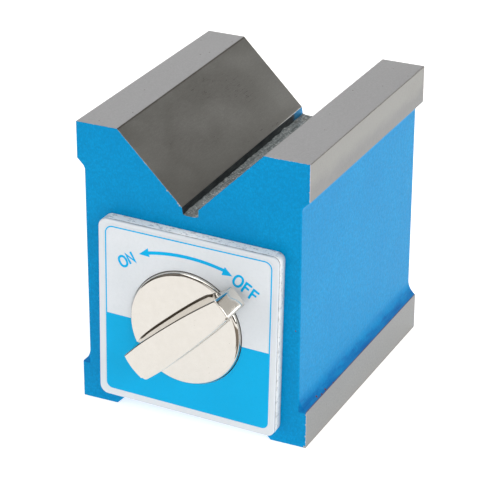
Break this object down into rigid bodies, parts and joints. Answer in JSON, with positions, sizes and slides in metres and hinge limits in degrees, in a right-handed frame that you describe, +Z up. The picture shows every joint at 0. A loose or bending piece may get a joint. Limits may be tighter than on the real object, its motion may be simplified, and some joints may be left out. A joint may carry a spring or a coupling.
{
  "type": "magnetic v-block",
  "caption": "Switchable magnetic V-block: steel poles around a turning magnet, with a quarter-turn knob, a V-groove for round work and ground feet that grip a steel table.",
  "frame": {"origin": "middle of the bounding box on the plane of the feet", "axes": "+Z up, +Y along the V-groove from the knob to the back, +X to the right seen from the knob"},
  "size_m": [0.06, 0.0822, 0.073],
  "materials": {
    "blue_enamel": "glossy blue enamel with faint orange peel; lips, V and side bands ground bare",
    "spacer_metal": "rough grey non-magnetic metal",
    "cast_plate": "fine sandblasted",
    "label": "printed satin sheet, light grey over blue",
    "screw_steel": "plain steel",
    "bronze": "turned bearing bronze",
    "spring_steel": "spring steel",
    "nylon": "natural nylon",
    "cover_steel": "turned steel",
    "polished_chrome": "mirror polished nickel chrome",
    "seal_rubber": "black rubber",
    "ferrite": "dark sintered magnet",
    "rotor_steel": "machined steel"
  },
  "bodies": {
    "block": {"left_pole_block": "blue_enamel", "right_pole_block": "blue_enamel", "upper_spacer": "spacer_metal", "lower_spacer": "spacer_metal", "front_plate": "cast_plate", "label_sheet": "label", "front_plate_screw_top_left": "screw_steel", "front_plate_screw_top_right": "screw_steel", "front_plate_screw_bottom_left": "screw_steel", "front_plate_screw_bottom_right": "screw_steel", "stop_pin": "screw_steel", "front_bush": "bronze", "wave_washer": "spring_steel", "thrust_washer": "nylon", "rear_bush": "bronze", "rear_cover": "cover_steel", "rear_cover_screw_1": "screw_steel", "rear_cover_screw_2": "screw_steel", "rear_cover_screw_3": "screw_steel", "rear_cover_screw_4": "screw_steel"},
    "switch": {"knob": "polished_chrome", "knob_o_ring": "seal_rubber", "rotor_front_cap": "bronze", "rotor_magnet": "ferrite", "rotor_shoe_upper": "rotor_steel", "rotor_shoe_lower": "rotor_steel", "rotor_rear_cap": "bronze", "rotor_front_screw_upper": "screw_steel", "rotor_front_screw_lower": "screw_steel", "rotor_rear_screw_upper": "screw_steel", "rotor_rear_screw_lower": "screw_steel"}
  },
  "joints": [
    {"name": "switch_turn", "type": "hinge", "parent": "block", "child": "switch", "pos_m": [0.0004, -0.02885, 0.02725], "axis": [0, -1, 0], "range_deg": [0, 90]}
  ]
}
